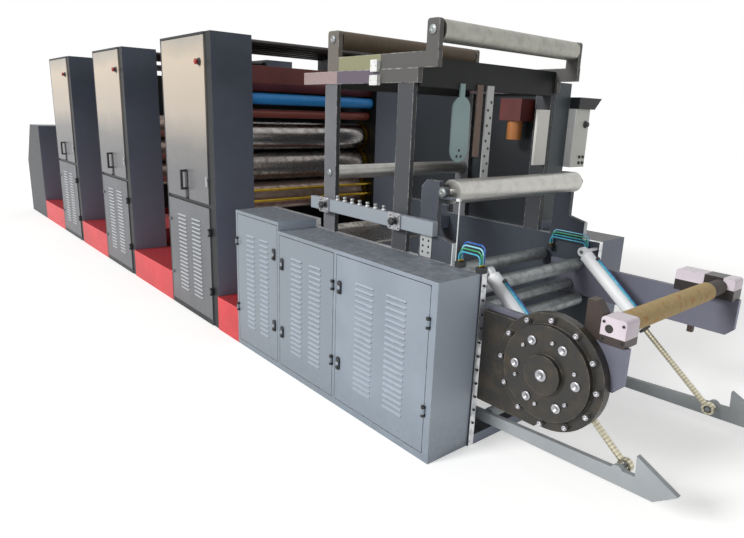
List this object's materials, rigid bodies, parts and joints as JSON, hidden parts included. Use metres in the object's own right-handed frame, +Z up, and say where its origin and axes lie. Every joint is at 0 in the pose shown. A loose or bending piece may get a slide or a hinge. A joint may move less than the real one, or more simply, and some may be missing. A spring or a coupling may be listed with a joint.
{
  "type": "web printing press",
  "caption": "In-line web printing press with printing towers, louvred covers, roller gantry and an unwind stand with lift arms.",
  "frame": {"origin": "on the floor, on the centre line of the press, under the end sill at the unwind end of the infeed unit", "axes": "+X along the press towards the unwind stand, +Y across it towards the drive side, +Z up"},
  "size_m": [10.4348, 2.172, 2.3],
  "materials": {
    "cover_paint": "semi-gloss light blue-grey machine paint",
    "tower_paint": "semi-gloss grey machine paint",
    "upper_cover_paint": "gloss grey machine paint with a warm reflection",
    "slate_paint": "semi-gloss slate grey machine paint",
    "gantry_paint": "satin warm grey machine paint",
    "black_paint": "satin black",
    "lilac_paint": "satin lilac-grey machine paint",
    "red_paint": "gloss red machine paint",
    "machined_steel": "milled steel",
    "hard_chrome": "ground hard chrome",
    "turned_aluminium": "anodised, satin",
    "blackened_steel": "blackened, oiled steel",
    "olive_rubber": "worn olive-brown rubber",
    "blue_rubber": "blue inking rubber",
    "red_rubber": "red-brown inking rubber",
    "brown_rubber": "dark red-brown inking rubber",
    "cast_iron_black": "black casting with bright bolts",
    "core_card": "wound brown card",
    "box_enamel": "light grey enamel",
    "white_cylinder": "white enamel",
    "black_plastic": "black glass-filled nylon",
    "maroon_paint": "satin maroon machine paint",
    "yellow_brass": "oiled yellow brass",
    "pale_enamel": "pale pinkish enamel",
    "sheet_zinc": "zinc-plated sheet, worn",
    "hose_blue": "blue polyurethane air hose",
    "pale_plate": "pale green-blue enamel"
  },
  "bodies": {
    "root": {"air_hoses": "hose_blue", "beam_plates": "pale_plate", "control_box": "box_enamel", "core_bearings": "pale_enamel", "core_brackets": "black_paint", "delivery_housings": "slate_paint", "delivery_table": "tower_paint", "door_handles": "black_plastic", "door_hinges": "black_plastic", "drive_housing": "slate_paint", "gantry_cross_beam": "black_paint", "gantry_uprights": "gantry_paint", "hose_manifolds": "black_plastic", "infeed_cabinet_drive": "slate_paint", "infeed_cabinet_operator": "cover_paint", "infeed_cross_members": "slate_paint", "infeed_side_frames": "machined_steel", "ink_duct": "maroon_paint", "inner_cylinders": "blackened_steel", "lift_pins": "machined_steel", "roller_stands": "slate_paint", "round_housing": "cast_iron_black", "steps": "red_paint", "tower_1_operator": "slate_paint", "tower_2_operator": "slate_paint", "tower_3_operator": "slate_paint", "tower_guards": "slate_paint", "tower_housings_drive": "slate_paint", "tower_tie_bars": "machined_steel", "tower_upper_doors": "upper_cover_paint", "unwind_arms": "lilac_paint", "web_bars": "yellow_brass", "web_guide_motor": "maroon_paint", "web_tray": "sheet_zinc"},
    "infeed_door_1": {"infeed_door_1": "cover_paint"},
    "infeed_door_2": {"infeed_door_2": "cover_paint"},
    "infeed_door_3": {"infeed_door_3": "cover_paint"},
    "tower_1_lower_door": {"tower_1_lower_door": "tower_paint"},
    "tower_2_lower_door": {"tower_2_lower_door": "tower_paint"},
    "tower_3_lower_door": {"tower_3_lower_door": "tower_paint"},
    "top_roller": {"top_roller": "turned_aluminium"},
    "felt_roller": {"felt_roller": "olive_rubber"},
    "mid_roller": {"mid_roller": "turned_aluminium"},
    "infeed_roller": {"infeed_roller": "turned_aluminium"},
    "guide_roller_1": {"guide_roller_1": "turned_aluminium"},
    "guide_roller_2": {"guide_roller_2": "turned_aluminium"},
    "guide_roller_3": {"guide_roller_3": "turned_aluminium"},
    "guide_roller_4": {"guide_roller_4": "turned_aluminium"},
    "plate_cylinder": {"plate_cylinder": "hard_chrome"},
    "blanket_cylinder": {"blanket_cylinder": "brown_rubber"},
    "impression_cylinder": {"impression_cylinder": "blackened_steel"},
    "ink_roller_blue": {"ink_roller_blue": "blue_rubber"},
    "ink_roller_red": {"ink_roller_red": "red_rubber"},
    "ink_roller_upper": {"ink_roller_upper": "brown_rubber"},
    "roll_core": {"roll_core": "core_card"},
    "lift_arms": {"lift_arms": "lilac_paint"},
    "lift_barrel_operator": {"lift_barrel_operator": "white_cylinder"},
    "lift_rod_operator": {"lift_rod_operator": "hard_chrome"},
    "lift_barrel_drive": {"lift_barrel_drive": "white_cylinder"},
    "lift_rod_drive": {"lift_rod_drive": "hard_chrome"}
  },
  "joints": [
    {"name": "infeed_door_1_hinge", "type": "hinge", "parent": "root", "child": "infeed_door_1", "pos_m": [-0.0475, -0.987, 0.5], "axis": [0, 0, 1], "range_deg": [0, 90]},
    {"name": "infeed_door_2_hinge", "type": "hinge", "parent": "root", "child": "infeed_door_2", "pos_m": [-0.8505, -0.987, 0.5], "axis": [0, 0, 1], "range_deg": [0, 90]},
    {"name": "infeed_door_3_hinge", "type": "hinge", "parent": "root", "child": "infeed_door_3", "pos_m": [-2.0465, -0.987, 0.5], "axis": [0, 0, -1], "range_deg": [0, 90]},
    {"name": "tower_1_lower_door_hinge", "type": "hinge", "parent": "root", "child": "tower_1_lower_door", "pos_m": [-2.5225, -0.987, 0.5], "axis": [0, 0, 1], "range_deg": [0, 90]},
    {"name": "tower_2_lower_door_hinge", "type": "hinge", "parent": "root", "child": "tower_2_lower_door", "pos_m": [-4.4825, -0.987, 0.5], "axis": [0, 0, 1], "range_deg": [0, 90]},
    {"name": "tower_3_lower_door_hinge", "type": "hinge", "parent": "root", "child": "tower_3_lower_door", "pos_m": [-6.4425, -0.987, 0.5], "axis": [0, 0, 1], "range_deg": [0, 90]},
    {"name": "top_roller_spin", "type": "hinge", "parent": "root", "child": "top_roller", "pos_m": [-0.448, 0, 2.19], "axis": [0, 1, 0], "continuous": true},
    {"name": "felt_roller_spin", "type": "hinge", "parent": "root", "child": "felt_roller", "pos_m": [-1.322, 0, 2.195], "axis": [0, 1, 0], "continuous": true},
    {"name": "mid_roller_spin", "type": "hinge", "parent": "root", "child": "mid_roller", "pos_m": [-1.337, 0, 1.37], "axis": [0, 1, 0], "continuous": true},
    {"name": "infeed_roller_spin", "type": "hinge", "parent": "root", "child": "infeed_roller", "pos_m": [-0.31, 0, 1.362], "axis": [0, 1, 0], "continuous": true},
    {"name": "guide_roller_1_spin", "type": "hinge", "parent": "root", "child": "guide_roller_1", "pos_m": [-0.49, 0, 0.84], "axis": [0, 1, 0], "continuous": true},
    {"name": "guide_roller_2_spin", "type": "hinge", "parent": "root", "child": "guide_roller_2", "pos_m": [-0.21, 0, 0.82], "axis": [0, 1, 0], "continuous": true},
    {"name": "guide_roller_3_spin", "type": "hinge", "parent": "root", "child": "guide_roller_3", "pos_m": [-0.27, 0, 0.67], "axis": [0, 1, 0], "continuous": true},
    {"name": "guide_roller_4_spin", "type": "hinge", "parent": "root", "child": "guide_roller_4", "pos_m": [-0.18, 0, 0.585], "axis": [0, 1, 0], "continuous": true},
    {"name": "plate_cylinder_spin", "type": "hinge", "parent": "root", "child": "plate_cylinder", "pos_m": [-2.635, 0, 1.54], "axis": [0, 1, 0], "continuous": true},
    {"name": "blanket_cylinder_spin", "type": "hinge", "parent": "root", "child": "blanket_cylinder", "pos_m": [-2.635, 0, 1.292], "axis": [0, 1, 0], "continuous": true},
    {"name": "impression_cylinder_spin", "type": "hinge", "parent": "root", "child": "impression_cylinder", "pos_m": [-2.635, 0, 1.044], "axis": [0, 1, 0], "continuous": true},
    {"name": "ink_roller_blue_spin", "type": "hinge", "parent": "root", "child": "ink_roller_blue", "pos_m": [-2.5, 0, 1.84], "axis": [0, 1, 0], "continuous": true},
    {"name": "ink_roller_red_spin", "type": "hinge", "parent": "root", "child": "ink_roller_red", "pos_m": [-2.535, 0, 1.725], "axis": [0, 1, 0], "continuous": true},
    {"name": "ink_roller_upper_spin", "type": "hinge", "parent": "root", "child": "ink_roller_upper", "pos_m": [-2.56, 0, 2.02], "axis": [0, 1, 0], "continuous": true},
    {"name": "roll_core_spin", "type": "hinge", "parent": "root", "child": "roll_core", "pos_m": [0.7, 0, 0.895], "axis": [0, 1, 0], "continuous": true},
    {"name": "lift_arms_hinge", "type": "hinge", "parent": "root", "child": "lift_arms", "pos_m": [-0.15, 0, 0.15], "axis": [0, -1, 0], "range_deg": [-6, 26]},
    {"name": "lift_barrel_operator_hinge", "type": "hinge", "parent": "root", "child": "lift_barrel_operator", "pos_m": [-0.105, -0.468, 0.94], "axis": [0, -1, 0], "range_deg": [-5, 17]},
    {"name": "lift_rod_operator_slide", "type": "slide", "parent": "lift_barrel_operator", "child": "lift_rod_operator", "axis": [0.7717, 0, -0.6359], "range_m": [-0.32, 0.08]},
    {"name": "lift_barrel_drive_hinge", "type": "hinge", "parent": "root", "child": "lift_barrel_drive", "pos_m": [-0.105, 0.468, 0.94], "axis": [0, -1, 0], "range_deg": [-5, 17]},
    {"name": "lift_rod_drive_slide", "type": "slide", "parent": "lift_barrel_drive", "child": "lift_rod_drive", "axis": [0.7717, 0, -0.6359], "range_m": [-0.32, 0.08]}
  ],
  "couplings": [
    {"joint": "blanket_cylinder_spin", "follows": "plate_cylinder_spin", "ratio": -1},
    {"joint": "impression_cylinder_spin", "follows": "plate_cylinder_spin", "ratio": 1},
    {"joint": "lift_barrel_operator_hinge", "follows": "lift_arms_hinge", "ratio": 0.615},
    {"joint": "lift_rod_operator_slide", "follows": "lift_arms_hinge", "m_per_rad": -0.685},
    {"joint": "lift_barrel_drive_hinge", "follows": "lift_arms_hinge", "ratio": 0.615},
    {"joint": "lift_rod_drive_slide", "follows": "lift_arms_hinge", "m_per_rad": -0.685}
  ]
}
